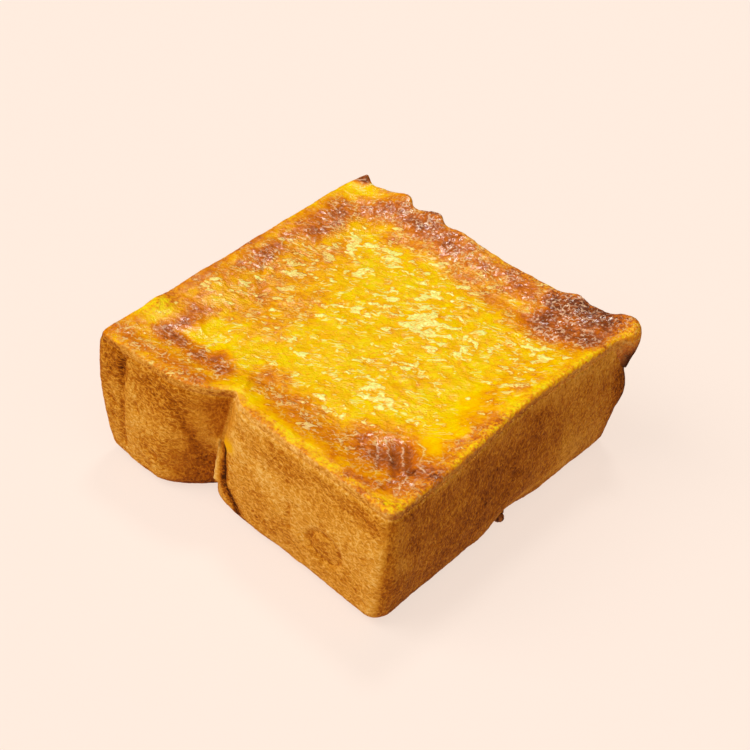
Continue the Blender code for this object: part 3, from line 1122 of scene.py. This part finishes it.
# %% Where the cheese is baked
BAKED_BANDS = {
    # start (x, y), end (x, y), half width, how baked
    "front left": ((-43.5, -29.0), (-43.5, -40.0), 4.5, 0.6),
    "front left, darker": ((-45.5, -44.0), (-38.5, -45.0), 3.5, 0.76),
    "left lobe": ((-36.5, -44.0), (-18.5, -45.0), 4.0, 0.58),
    "by the cleft": ((-24.5, -42.0), (-18.5, -46.0), 3.5, 0.7),
    "left lobe's rim": ((-54.0, -54.0), (-21.0, -52.5), 4.0, 0.5),
    "front": ((-9.5, -41.0), (29.5, -46.0), 6.5, 0.41),
    "front rim": ((2.0, -58.0), (46.0, -58.0), 3.0, 0.45),
    "front right": ((31.5, -40.0), (45.5, -42.0), 10.0, 0.68),
    "front right, outer": ((33.5, -53.0), (47.0, -50.0), 3.5, 0.56),
    "right front": ((48.0, -30.0), (48.0, -7.0), 3.0, 0.42),
    "right rim": ((54.5, -48.0), (54.5, 40.0), 3.0, 0.34),
    "front right corner": ((49.0, -54.0), (52.0, -54.0), 3.0, 0.33),
    "low left": ((-55.0, -15.0), (-55.0, -32.0), 4.0, 0.5),
    "left edge": ((-57.0, -22.0), (-57.0, 22.0), 2.5, 0.48),
    "left": ((-50.0, -2.0), (-50.0, 11.0), 4.5, 0.62),
    "left middle": ((-51.0, 16.0), (-51.0, 26.0), 3.5, 0.52),
    "left upper": ((-49.0, 25.0), (-49.0, 45.0), 5.5, 0.66),
    "back left": ((-45.0, 49.0), (-34.0, 54.0), 7.0, 0.68),
    "back": ((-28.0, 54.0), (-10.0, 52.0), 7.0, 0.7),
    "second lump": ((-29.0, 62.0), (-24.0, 62.0), 4.0, 0.84),
    "end of the first lump": ((-37.0, 62.5), (-36.0, 64.0), 1.6, 0.8),
    "back middle": ((-2.5, 53.0), (24.0, 51.0), 6.5, 0.58),
    "back right": ((30.0, 54.0), (44.0, 54.0), 8.0, 0.94),
    "below it": ((30.0, 43.0), (43.0, 44.0), 7.5, 0.86),
    "orange left": ((-41.0, 18.0), (-37.0, -17.0), 9.0, 0.33),
    "orange middle left": ((-27.0, -2.0), (-24.0, -21.0), 6.0, 0.28),
    "orange back left": ((-28.0, 43.0), (-16.0, 45.0), 4.0, 0.42),
    "orange back": ((-3.5, 45.0), (23.0, 39.0), 5.0, 0.42),
}
YELLOW_BANDS = {
    # start (x, y), end (x, y), half width, how much less baked
    "by the cleft": ((-14.5, -47.0), (-6.5, -48.5), 3.2, 0.25),
    "front rim": ((-4.5, -51.0), (27.5, -55.5), 1.7, 0.22),
}
YELLOW_SPOTS = {
    # middle (x, y), reach (x, y), how much less baked
    "lump on the left rim": ((-52.5, -39.0), (4.5, 4.5), 0.5),
    "inside the left lobe": ((-33.0, -35.0), (5.0, 4.5), 0.25),
    "back left corner": ((-54.0, 55.0), (6.0, 7.0), 0.45),
    "left margin": ((-59.0, 37.0), (2.5, 16.0), 0.3),
    "back right corner": ((56.0, 56.0), (3.0, 9.0), 0.5),
}
BAKED_BASE = 0.06
BAKED_BORDER = 0.34
print("the cheese is baked in", len(BAKED_BANDS), "bands")

# %% Where its skin is calm, gritty, slit or flaky
CALM_SPOTS = {
    # middle (x, y), reach (x, y), how much calmer the skin is there
    "right of the middle": ((37.0, -8.0), (9.0, 16.0), 0.3),
    "right rim": ((53.0, 0.0), (5.0, 60.0), 0.8),
    "left rim": ((-58.0, 0.0), (5.0, 70.0), 0.6),
    "front rim": ((18.0, -53.0), (32.0, 5.0), 0.7),
    "lump on the left rim": ((-51.0, -36.0), (8.0, 8.0), 1.0),
    "glossy patch": ((38.0, -38.5), (8.0, 8.0), 0.9),
}
GRITTY_SPOTS = {
    # middle (x, y), reach (x, y), how much rougher the skin is there
    "lump on the left rim": ((-54.0, -37.0), (6.0, 6.0), 1.6),
    "front of the right rim": ((50.0, -14.0), (4.0, 15.0), 0.7),
    "front right corner": ((52.0, -56.0), (5.0, 4.0), 0.8),
}
SLOTS = {
    # start (x, y), end (x, y), width, depth
    "left of the glint": ((33.5, -34.0), (42.0, -45.0), 1.3, 0.7),
    "right of the glint": ((36.4, -31.4), (44.6, -41.7), 1.0, 0.8),
    "left slot": ((30.5, -37.5), (36.5, -44.5), 1.4, 0.5),
    "corner slot": ((44.0, -43.0), (43.5, -51.0), 1.0, 0.5),
    "scratch": ((-46.0, 1.0), (-42.0, -6.0), 0.7, 0.4),
}
FLAKY_SPOTS = {
    # middle (x, y), reach (x, y), how many more pale flakes of painted highlight are there
    "middle": ((11.0, 12.5), (17.0, 9.0), 0.62),
    "right of the middle": ((15.0, -6.5), (9.0, 5.0), 0.5),
    "back": ((1.0, 24.0), (12.0, 6.0), 0.45),
    "far back": ((3.0, 35.0), (18.0, 6.0), 0.36),
    "back left": ((-28.5, 31.0), (12.0, 10.0), 0.5),
    "right": ((34.0, 26.0), (8.0, 8.0), 0.52),
    "front": ((16.0, -21.0), (9.0, 6.0), 0.35),
    "left": ((-16.0, 3.5), (8.0, 6.0), 0.44),
    "left front": ((-25.0, -12.0), (9.0, 9.0), 0.25),
    "far left": ((-37.0, 10.0), (8.0, 14.0), 0.3),
    "front left": ((-44.0, -6.5), (6.0, 10.0), 0.2),
    "front right": ((33.0, -14.0), (9.0, 9.0), 0.25),
    "far right": ((42.0, 14.0), (6.0, 14.0), 0.42),
}
FLAKY_BASE = 0.24
print("pale flakes gather in", len(FLAKY_SPOTS), "places")

# %% The cheese's tree: the grid, bent to its place
SHEET_STEPS = 151  # rings of the grid that show
UNDER_STEPS = 3  # rings that close the sheet underneath
CHEESE_RIM_WIDTH = 20.0
CHEESE_DISH_DEPTH = 3.1
CHEESE_SIZES = {
    "Thickness": 2.6,
    "Rim Thickness": 1.7,
    "Gap": 0.3,
    "Wrinkles": 1.0,
    "Underside": 30.0,
}
tree, sizes = geometry_tree("cheese_sheet", CHEESE_SIZES)
reach = (SHEET_STEPS + UNDER_STEPS) / SHEET_STEPS
grid_inputs = {"Size " + axis: 2.0 * reach for axis in "XY"}
grid_inputs.update({"Vertices " + axis: 2 * (SHEET_STEPS + UNDER_STEPS) + 1 for axis in "XY"})
grid = tree.node("GeometryNodeMeshGrid", {}, grid_inputs)
u, v, _ = parts_of(tree.node("GeometryNodeInputPosition"))
whole_ring = larger(abs(u), abs(v))
under = clamp((whole_ring - 1.0) / (reach - 1.0))
ring = smaller(whole_ring, 1.0)
outline_x, outline_y = outline(u, v)
turn = clamp((1.0 - ring) / (1.0 - EDGE_START)) * QUARTER_TURN
over_edge = 1.0 - turn / QUARTER_TURN
inner = clamp(1.0 - ring / EDGE_START) * (HALF_WIDTH - TOP_ROUNDING)
dish = smooth_step(0.0, CHEESE_RIM_WIDTH, inner)
from_corner = ((outline_x - HALF_WIDTH) ** 2.0 + (outline_y - HALF_DEPTH) ** 2.0) ** 0.5
lap = smooth_step(1.5 * LAP_REACH, 0.5 * LAP_REACH, from_corner)
ragged = 0.7 + 0.6 * noise(joined(tree, outline_x, outline_y, 0.0), 4.0, 50)
lap_drop = LAP_LENGTH * ragged * lap * smooth_step(0.93, 1.0, ring)
inset = inner + TOP_ROUNDING * (1.0 - cosine(turn))
height = RIM_HEIGHT - TOP_ROUNDING * (1.0 - sine(turn)) - CHEESE_DISH_DEPTH * dish - lap_drop
print("each ring of the grid has its inset and height, and the corner laps down")

# %% The cheese's tree: thickness, swellings and underside
thickness = mix(sizes["Rim Thickness"], sizes["Thickness"], dish)
hem = mix(-0.6, -0.5, lap)  # the edge ends inside the crust
fading = mix(smooth_step(0.05, 0.7, over_edge), smooth_step(0.25, 1.0, over_edge), lap)
offset = mix(sizes["Gap"] + thickness, hem, fading)
block = inset_point(outline_x, outline_y, inset - offset * cosine(turn))
top = deform(*block, height + offset * sine(turn))
swollen = list(top)
for middle, spread, standing in SWELLINGS.values():
    mask = bump(top[0], middle[0], spread[0]) * bump(top[1], middle[1], spread[1])
    swollen = [now + mask * part for now, part in zip(swollen, standing)]
shown = under < 0.01
gathered = (top[0] * (1.0 - under), top[1] * (1.0 - under), sizes["Underside"])
position = joined(tree, *(choose(shown, a, b) for a, b in zip(swollen, gathered)))
sheet = remember(grid, inset=inset, shown=shown, lap=lap, over_edge=over_edge)
sheet = merged(place(sheet, position))
print("the sheet is bent to its place, swollen and closed underneath")

# %% The cheese's tree: how baked it is
EDGE_BAKED = 0.42
RIGHT_EDGE_BAKED = 0.52
LAP_BAKED = 0.6
TIP_BAKED = 0.9
where = tree.node("GeometryNodeInputPosition")
x, y, z = parts_of(where)
flat = flattened(where)
inset, lap_share, over_edge = (stored(tree, name) for name in ("inset", "lap", "over_edge"))
on_right = smooth_step(44.0, 52.0, x)
bent_x, bent_y, _ = parts_of(warped(warped(flat, 9.0, 3.0, 51), 2.5, 1.0, 52))
uneven = wobble(flat, 5.0, 53, 4.0, 0.6) * 0.8 + wobble(flat, 13.0, 49) * 0.3
outer = smooth_step(24.0, 6.0, inset) * mix(1.0, 0.3, smooth_step(20.0, 40.0, x))
baked = larger(bands(bent_x, bent_y, BAKED_BANDS), mix(BAKED_BASE, BAKED_BORDER, outer)) + uneven
baked -= spots(bent_x, bent_y, YELLOW_SPOTS) + bands(bent_x, bent_y, YELLOW_BANDS)
edge_baked = mix(EDGE_BAKED, RIGHT_EDGE_BAKED - lap_share * 0.14, on_right)
baked = larger(baked, smooth_step(-0.1, 0.4, over_edge) * edge_baked)
burnt_tip = smooth_step(44.4, 45.8, z) * smooth_step(-50.0, -53.0, x)
# the lap's outer face is baked darker: partly browning, partly painted shade under the lobe
lap_side = lap_share * smooth_step(0.3, 0.7, over_edge)
baked = larger(baked, larger(burnt_tip * TIP_BAKED, lap_side * LAP_BAKED))
sheet = remember(sheet, baked=clamp(baked))
baked = stored(tree, "baked")
brown = smooth_step(0.35, 0.65, baked)
print("bands and spots say how baked each place is")

# %% The cheese's tree: where it meets the crust
# how far from the edge the crust's look begins, in millimetres
BORDER = 0.9
RIGHT_BORDER = 0.4
FRONT_BORDER = 1.6
normal = tree.node("GeometryNodeInputNormal")
normal_x, _, normal_z = parts_of(normal)
side = smooth_step(0.15, 0.6, abs(normal_x)) * smooth_step(44.0, 50.0, abs(x))
crumbly = wobble(where, 1.4, 48, 3.0) * 1.2
turning = smooth_step(0.8, 0.4, normal_z + crumbly + on_right * 0.25) * (1.0 - lap_share)
from_front = smooth_step(-44.0, -52.0, y)
border = mix(mix(BORDER, RIGHT_BORDER, on_right), FRONT_BORDER, from_front)
wavy_inset = inset + wobble(flat, 2.0, 54, 3.0) * mix(1.2, 3.0, from_front)
crust_share = smooth_step(border, border * 0.3, wavy_inset) * (1.0 - lap_share)
sheet = remember(sheet, crust_share=larger(larger(crust_share, turning), lap_side))
crust_share = stored(tree, "crust_share")
# down the lap's outer face the crust colour darkens: partly browning, partly painted shade under the
# lobe
lap_brown_and_shade = 0.7 + smooth_step(0.4, 0.75, over_edge) * 0.42
browned = mix(crust_browning_and_shade(where, normal) - 0.05, lap_brown_and_shade, lap_side)
print("on the front rim the two blend, and past the edge the skin looks like crust")

# %% The cheese's tree: the relief of its skin
# heights in millimetres
WAVES_BETWEEN_FLAKES = 0.35
WAVES_UNDER_FLAKES = 0.7
WAVES_ON_BROWN = 0.7
FINE_WAVES_ON_BROWN = 0.6
LONG_CREASES = 0.15
SHORT_CREASES = 0.16
FLAKES = 0.08
STREAKS = 0.06
calm = clamp(1.0 - spots(x, y, CALM_SPOTS), 0.08, 1.0)
gritty = smooth_step(7.0, 2.0, inset) * mix(0.4, 1.1, smooth_step(-30.0, 10.0, x))
gritty += brown * 0.3 + spots(x, y, GRITTY_SPOTS)
flaky = clamp(FLAKY_BASE + spots(x, y, FLAKY_SPOTS) - spots(x, y, CALM_SPOTS)) * (1.0 - brown)
sheet = remember(sheet, flaky=flaky)
flaky = stored(tree, "flaky")
waves = wobble(warped(flat, 4.0, 1.8, 56), 2.8, 57)
yellow_skin = waves * mix(WAVES_BETWEEN_FLAKES, WAVES_UNDER_FLAKES, flaky)
yellow_skin += creases(warped(flat, 6.0, 2.0, 60), 8.0, 61, 0.03) * LONG_CREASES
yellow_skin += highlight_flakes(flat, flaky) * FLAKES + streaks(flat) * STREAKS
brown_skin = waves * WAVES_ON_BROWN
brown_skin += creases(warped(flat, 2.0, 0.8, 62), 2.2, 63, 0.08) * SHORT_CREASES
brown_skin += wobble(warped(flat, 2.0, 0.8, 64), 1.2, 65) * FINE_WAVES_ON_BROWN
skin = mix(yellow_skin, brown_skin, brown) * calm * (1.0 - crust_share) * sizes["Wrinkles"]
print("the yellow skin has long creases, and the brown skin has short ones")

# %% The cheese's tree: larger forms, and its masks
SWELL = 1.4
SHEET_SINK = 0.3
EDGE_GRAIN = 0.6
LAP_BULGE = 2.0
CRUMBS = 0.5
swell = wobble(flat, 11.0, 66) * SWELL * (1.0 - crust_share * 0.8)
edge_grain = crust_grain(where, side) * EDGE_GRAIN * crust_share
ridge = bump(inset, 1.8, 1.5) * 0.35 - bump(inset, 5.0, 1.3) * 0.2
lap_bulge = lap_share * bump(over_edge, 0.48, 0.27) * LAP_BULGE
slots = strokes(x, y, SLOTS)
skin += swell - SHEET_SINK + edge_grain + ridge * smooth_step(42.0, 50.0, x) - slots
skin += lap_bulge + crumbly * smooth_step(0.5, 0.9, over_edge) * CRUMBS
# the slots are also painted darker: painted shade in them
sheet = remember(sheet, baked=clamp(baked + slots * 0.16), wrinkled=calm)
sheet = remember(sheet, browned=browned, side=side, gritty=gritty)
finish_tree(push(sheet, skin * stored(tree, "shown")), sizes["Material"])
cheese = grow("melted_cheese", tree, CHEESE_SIZES, cheese_finish)

# %% [markdown]
# ## Grains on the edge
#
# Where the cheese ends on the right side, its edge broke into grains of baked cheese and crumb.
# They are many and alike, so one small ball is scattered: points along the edge, by the same rule
# as the slice, and a flattened ball at each, turned and sized at random. The tree ends by
# making the copies real.

# %% The grains' finish
grains_finish, tree, shader = new_material(
    "baked_grains", {"Roughness": 0.5, "Specular IOR Level": 0.2}
)
GRAIN_STOPS = stops((0.3, 252, 200, 84), (0.5, 234, 156, 50), (0.7, 172, 94, 24))
where = object_place(tree)
feed(tree, shader, "Base Color", ramp(tree, noise(where, 2.5, 91, 3.0, 0.6), GRAIN_STOPS))
feed(tree, shader, "Normal", bumped(tree, noise(where, 0.4, 92) * 0.15))
print("made", grains_finish.name)


# %% The grains' tree
def at_random(tree, low, high, seed):
    """A random number for each point, or a random vector where low and high are vectors."""
    kind = "FLOAT_VECTOR" if isinstance(low, tuple) else "FLOAT"
    inputs = {"Min": low, "Max": high, "Seed": seed}
    return tree.node("FunctionNodeRandomValue", {"data_type": kind}, inputs)


GRAIN_SIZES = {"Count": 420, "Smallest": 0.14, "Largest": 0.36}
tree, sizes = geometry_tree("scattered_grains", GRAIN_SIZES)
along = at_random(tree, 0.0, 1.0, 1) ** 1.3  # most are near the front corner
u, v = along * 0.0 + 1.0, along * 1.75 - 0.95
tilt = at_random(tree, 0.0, 1.0, 2)
above = TOP_ROUNDING + tilt + at_random(tree, -0.2, 0.25, 3)
angle = tilt * 0.6 + 0.65
block = inset_point(*outline(u, v), TOP_ROUNDING - above * cosine(angle))
height = above * sine(angle) + (RIM_HEIGHT - TOP_ROUNDING)
position = joined(tree, *deform(*block, height))
points = tree.node("GeometryNodePoints", {}, {"Count": sizes["Count"], "Position": position})
ball = tree.node("GeometryNodeMeshIcoSphere", {}, {"Radius": 1.0, "Subdivisions": 2})
size = mix(sizes["Smallest"], sizes["Largest"], at_random(tree, 0.0, 1.0, 5) ** 2.0)
uneven = at_random(tree, (0.7, 0.7, 0.5), (1.3, 1.3, 0.9), 6)
copies = {
    "Points": points,
    "Instance": ball,
    "Rotation": at_random(tree, (-3.0, -3.0, -3.0), (3.0, 3.0, 3.0), 4),
    "Scale": vector_maths("SCALE", uneven, size),
}
finish_tree(tree.node("GeometryNodeInstanceOnPoints", {}, copies), sizes["Material"])
grains = grow("edge_grains", tree, GRAIN_SIZES, grains_finish)

# %% [markdown]
# ## Burnt bits
#
# A drip of cheese burnt on to the foot of the right side. It could be sculpted, but it is small
# and has no parts. So it is two uneven balls, the drip and its neck: spheres of many faces,
# squashed, and then pushed in and out by noise.

# %% The burnt bits
burnt_finish, tree, shader = new_material("burnt_cheese", {"Specular IOR Level": 0.3})
BURNT_STOPS = stops((0.35, 84, 36, 10), (0.6, 176, 100, 34))
where = object_place(tree)
feed(tree, shader, "Base Color", ramp(tree, noise(where, 0.9, 93), BURNT_STOPS))
feed(tree, shader, "Roughness", mix(0.25, 0.6, noise(where, 0.7, 94)))
BURNT_BITS = {
    # middle (x, y, z), half sizes (x, y, z)
    "drip": ((50.9, 0.6, 1.7), (1.8, 1.6, 1.6)),
    "drip's neck": ((49.0, 2.4, 2.2), (2.2, 1.6, 1.1)),
}
BURNT_SIZES = {"Lumpiness": 0.9}
tree, sizes = geometry_tree("burnt_lumps", BURNT_SIZES)
lumps = []
for middle, half_sizes in BURNT_BITS.values():
    ball = tree.node("GeometryNodeMeshIcoSphere", {}, {"Radius": 1.0, "Subdivisions": 5})
    moves = {"Geometry": ball, "Translation": middle, "Scale": half_sizes}
    lumps.append(tree.node("GeometryNodeTransform", {}, moves))
bits = tree.node("GeometryNodeJoinGeometry")
for lump in reversed(lumps):
    tree.tree.links.new(lump.socket, bits.socket.node.inputs["Geometry"])
where = tree.node("GeometryNodeInputPosition")
bits = push(bits, wobble(where, 1.3, 95) * sizes["Lumpiness"])
finish_tree(bits, sizes["Material"])
burnt = grow("burnt_bits", tree, BURNT_SIZES, burnt_finish)

# %% [markdown]
# ## Joining the pieces to the frame
#
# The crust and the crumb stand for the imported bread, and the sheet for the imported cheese. The
# grains and the burnt bits stand for no solid of their own. They could be joined to the sheet,
# but as pieces they can be told apart. There are no joints, so everything rides on the one body.

# %% Ride on the frame
for piece, node, slot in (
    (crust, "bread", "toasted_bread"),
    (crumb, "bread", "toasted_bread"),
    (cheese, "cheese", "baked_cheese"),
):
    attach(piece, "root")
    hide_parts(node)
    print(piece.name, "stands for", node)
for piece in (grains, burnt):
    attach(piece, "root")

# %% [markdown]
# ## Floor, light and camera
#
# The picture has a pale peach ground, and nearly no shadow on it. The front side is lit and the
# right side is in shade, so the main light comes from the left. The small white glints on the
# cheese are partly a narrow light behind the slice, mirrored where the wrinkled skin leans the
# right way, and partly painted highlights. The floor glows a little, which keeps the slice's
# shadow faint.

# %% The floor
FLOOR_SIZE = 40.0
FLOOR_COLOUR = srgb(254, 235, 221)
FLOOR_LIT_SHARE = 0.22  # how much of the floor's colour the lights give
FLOOR_GLOW = 0.79
floor_mesh = bpy.data.meshes.new("floor")
half = FLOOR_SIZE / 2.0
corners = [(-half, -half, 0.0), (half, -half, 0.0), (half, half, 0.0), (-half, half, 0.0)]
floor_mesh.from_pydata(corners, [], [(0, 1, 2, 3)])
floor = bpy.data.objects.new("floor", floor_mesh)
bpy.context.scene.collection.objects.link(floor)
floor_finish, tree, shader = new_material(
    "pale_floor",
    {
        "Base Color": (*(FLOOR_LIT_SHARE * part for part in FLOOR_COLOUR), 1.0),
        "Roughness": 0.9,
        "Emission Color": (*FLOOR_COLOUR, 1.0),
        "Emission Strength": FLOOR_GLOW,
    },
)
floor_mesh.materials.append(floor_finish)
floor.visible_glossy = False
print("the floor is", FLOOR_SIZE, "m wide")

# %% The lights
LIGHTS = {
    # direction it comes from (x, y, z), how wide it looks in degrees, strength, mirrored or not
    "key": ((-0.5, -0.5, 0.707), 45.0, 1.9, False),
    "behind": ((-0.264, 0.388, 0.883), 11.0, 0.85, True),
    "fill": ((0.35, -0.35, 0.87), 80.0, 1.2, False),
}


def add_light(name, direction, width, strength, mirrored):
    """A sun lamp from one direction. Where it is not mirrored, it gives no highlights."""
    data = bpy.data.lights.new(name, "SUN")
    data.angle = math.radians(width)
    data.energy = strength
    light = bpy.data.objects.new(name, data)
    bpy.context.scene.collection.objects.link(light)
    towards = Vector(direction).normalized()
    light.location = towards
    light.rotation_euler = towards.to_track_quat("Z", "Y").to_euler()
    light.visible_glossy = mirrored
    print(name, "light of strength", strength)


for name, values in LIGHTS.items():
    add_light(name, *values)
world = bpy.data.worlds.new("pale_room")
world.use_nodes = True
background = world.node_tree.nodes["Background"]
background.inputs["Color"].default_value = (*FLOOR_COLOUR, 1.0)
background.inputs["Strength"].default_value = 1.0
world.cycles_visibility.diffuse = False
world.cycles_visibility.glossy = False
bpy.context.scene.world = world
bpy.context.scene.view_settings.view_transform = "Standard"

# %% The camera
AZIMUTH = math.radians(34.4)
ELEVATION = math.radians(38.0)
ROLL = math.radians(7.7)
DISTANCE = 516.0
AIM_HEIGHT = 18.0
AIM_RIGHT = 1.35
AIM_UP = 6.4
FOCAL_PIXELS = 1700.0
PICTURE_PIXELS = 750.0
camera_data = bpy.data.cameras.new("camera")
camera_data.sensor_width = 36.0
camera_data.lens = camera_data.sensor_width * FOCAL_PIXELS / PICTURE_PIXELS
camera_data.clip_start = 0.01
camera = bpy.data.objects.new("camera", camera_data)
bpy.context.scene.collection.objects.link(camera)
flat = math.cos(ELEVATION)
back = Vector((math.sin(AZIMUTH) * flat, -math.cos(AZIMUTH) * flat, math.sin(ELEVATION)))
facing = (-back).to_track_quat("-Z", "Y") @ Quaternion((0.0, 0.0, 1.0), ROLL)
right, up = facing @ Vector((1.0, 0.0, 0.0)), facing @ Vector((0.0, 1.0, 0.0))
aim = Vector((0.0, 0.0, AIM_HEIGHT)) + right * AIM_RIGHT + up * AIM_UP
camera.location = (aim + back * DISTANCE - Vector(MIDDLE)) * MM
camera.rotation_mode = "QUATERNION"
camera.rotation_quaternion = facing
bpy.context.scene.camera = camera
print("the camera is", round(camera.location.length, 3), "m away")
